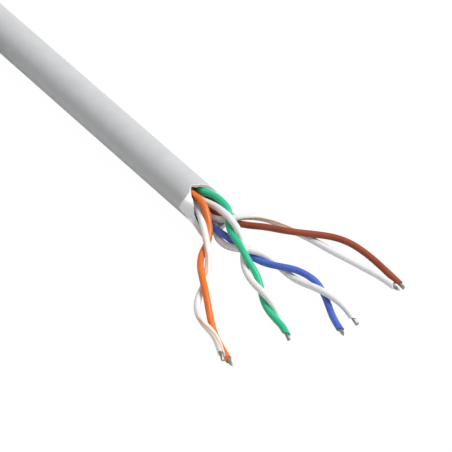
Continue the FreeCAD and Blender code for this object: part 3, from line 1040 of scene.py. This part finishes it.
# %% Tinned wire
tinned, metal_shader, _ = plastic("tinned_wire", (186, 185, 181), (156, 154, 150), 0.5, 0.2, radius=CONDUCTOR_R,
                                  lines=9.0, line_length=0.3, dents=2.0)
metal_shader.inputs["Metallic"].default_value = 1.0
for piece in [*conductors.values(), *far_conductors]:
    finish_with(piece, tinned)
print("conductors finished with", tinned.name)

# %% [markdown]
# The strap is black nylon, with a face of tiny loops. A spun mesh has no even UV map, so the pattern uses Object
# coordinates: the rounded cells of a Voronoi texture are the loops, and noise makes some of them greyer.

# %% Strap finish
def weave_group():
    """A group: a coordinate in, the height of the loops and how grey they are out."""
    group, entry, leave = new_group("woven_nylon", "Place", (("Threads", 2000.0),), ("Height", "Fuzz"))
    cells = group.nodes.new("ShaderNodeTexVoronoi")
    wire_up(group, entry, "Place", cells, "Vector")
    wire_up(group, entry, "Threads", cells, "Scale")
    fuzz = group.nodes.new("ShaderNodeTexNoise")
    fuzz.inputs["Scale"].default_value = 900.0
    fuzz.inputs["Detail"].default_value = 6.0
    wire_up(group, entry, "Place", fuzz, "Vector")
    raised = math_node(group, "SUBTRACT", 1.0, (cells, "Distance"))
    wire_up(group, raised, "Value", leave, "Height")
    wire_up(group, fuzz, "Fac", leave, "Fuzz")
    return group


nylon = bpy.data.materials.new("black_nylon")
nylon.use_nodes = True
tree = nylon.node_tree
nylon_shader = tree.nodes["Principled BSDF"]
place = tree.nodes.new("ShaderNodeTexCoord")
weave = tree.nodes.new("ShaderNodeGroup")
weave.node_tree = weave_group()
wire_up(tree, place, "Object", weave, "Place")
threads = colour_mix(tree, (20, 20, 22), (62, 62, 66))
wire_up(tree, weave, "Fuzz", threads, "Factor")
tree.links.new(threads.outputs["Result"], nylon_shader.inputs["Base Color"])
relief = tree.nodes.new("ShaderNodeBump")
relief.inputs["Strength"].default_value = 0.8
relief.inputs["Distance"].default_value = 0.0002
wire_up(tree, weave, "Height", relief, "Height")
wire_up(tree, relief, "Normal", nylon_shader, "Normal")
nylon_shader.inputs["Roughness"].default_value = 0.85
nylon_shader.inputs["Sheen Weight"].default_value = 0.3
finish_with(strap, nylon)
print("strap finish", nylon.name)

# %% [markdown]
# ## Floor and light
#
# A product picture on white: a white floor, a big soft light high on the far side, and a bright, even surround
# that fills the shadows. The side of the jacket that faces away from the light still gets light from the floor.

# %% Floor
FLOOR_SIZE = 3.0
FLOOR_GLOW = 0.93    # how much of the floor, as the camera sees it, is plain white paper with light behind it
bpy.ops.object.select_all(action="DESELECT")
bpy.ops.mesh.primitive_plane_add(size=FLOOR_SIZE, location=(0, 0, 0))
floor = bpy.context.object
floor.name = "floor"
paper = bpy.data.materials.new("white_paper")
paper.use_nodes = True
tree = paper.node_tree
sheet_shader = tree.nodes["Principled BSDF"]
sheet_shader.inputs["Base Color"].default_value = (0.75, 0.75, 0.75, 1)
sheet_shader.inputs["Roughness"].default_value = 0.9
glow = tree.nodes.new("ShaderNodeEmission")
glow.inputs["Strength"].default_value = 1.05
seen = tree.nodes.new("ShaderNodeLightPath")
share = math_node(tree, "MULTIPLY", (seen, "Is Camera Ray"), FLOOR_GLOW)
blend = tree.nodes.new("ShaderNodeMixShader")
wire_up(tree, share, "Value", blend, "Fac")
tree.links.new(sheet_shader.outputs["BSDF"], blend.inputs[1])
tree.links.new(glow.outputs["Emission"], blend.inputs[2])
tree.links.new(blend.outputs["Shader"], tree.nodes["Material Output"].inputs["Surface"])
finish_with(floor, paper)
print("floor:", FLOOR_SIZE, "m across")


# %% [markdown]
# The key light stands high, beyond the jacket and to the right, so the jacket's upper edge catches it and the tone
# falls off towards the lower edge. A light 0.45 m wide from about 1 m away keeps that shading soft.

# %% Lights
def soft_light(name, at, size, watts):
    """A square light that faces the middle of the view from a place given from there."""
    light = bpy.data.lights.new(name, "AREA")
    light.size = size
    light.energy = watts
    holder = bpy.data.objects.new(name, light)
    holder.location = target + Vector(at)
    holder.rotation_euler = (target - holder.location).to_track_quat("-Z", "Y").to_euler()
    bpy.context.collection.objects.link(holder)


soft_light("key", (0.28, 0.46, 0.8), 0.45, 8.3)

surround = bpy.data.worlds.new("surround")
surround.use_nodes = True
surround.node_tree.nodes["Background"].inputs["Color"].default_value = (1, 1, 1, 1)
surround.node_tree.nodes["Background"].inputs["Strength"].default_value = 0.4
bpy.context.scene.world = surround
bpy.context.scene.view_settings.view_transform = "Standard"
